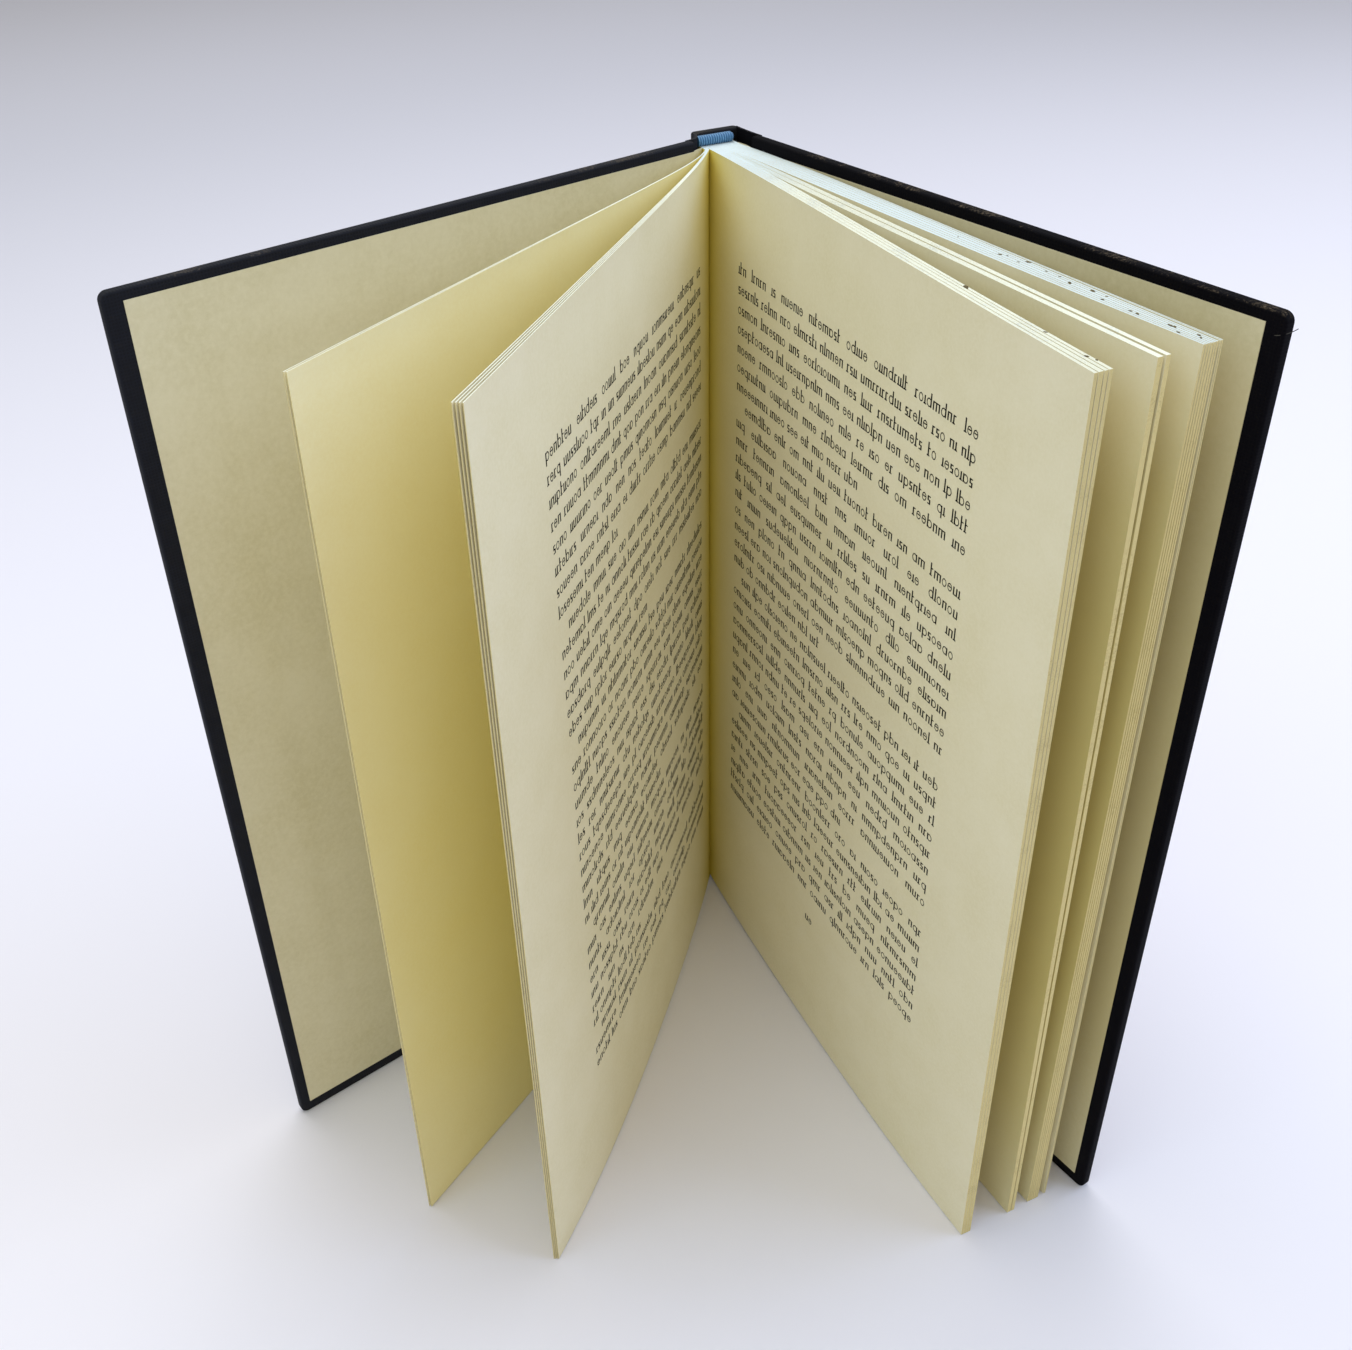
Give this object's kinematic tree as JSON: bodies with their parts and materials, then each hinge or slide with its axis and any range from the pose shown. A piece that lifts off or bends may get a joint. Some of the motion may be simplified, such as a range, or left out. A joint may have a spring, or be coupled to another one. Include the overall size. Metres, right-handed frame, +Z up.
{
  "type": "case-bound book",
  "caption": "Case-bound book standing open on its tail edges, its leaves fanned in bundles between two hinged, cloth-covered boards.",
  "frame": {"origin": "on the surface the book stands on, under the middle of the spine's outer face", "axes": "+Z up along the spine, +Y straight out of the spine, +X across the spine towards the back cover"},
  "size_m": [0.1604, 0.1359, 0.21],
  "materials": {
    "leaves": "matte uncoated ivory paper",
    "endpaper": "matte beige endpaper",
    "cloth": "black book cloth, matte",
    "board": "grey board",
    "lining": "gauze and paper",
    "band": "blue woven headband"
  },
  "bodies": {
    "block": {"text_block": "leaves", "spine_lining": "lining", "headband": "band", "tailband": "band", "spine_strip": "board", "spine_cloth": "cloth"},
    "front_cover": {"front_board": "board", "front_cloth": "cloth", "front_pastedown": "endpaper"},
    "back_cover": {"back_board": "board", "back_cloth": "cloth", "back_pastedown": "endpaper"}
  },
  "joints": [
    {"name": "front_cover_hinge", "type": "hinge", "parent": "block", "child": "front_cover", "pos_m": [-0.00707, -0.0053, 0], "axis": [0, 0, -1], "range_deg": [-18, 88]},
    {"name": "back_cover_hinge", "type": "hinge", "parent": "block", "child": "back_cover", "pos_m": [0.0053, -0.0079, 0], "axis": [0, 0, 1], "range_deg": [0, 132]}
  ]
}
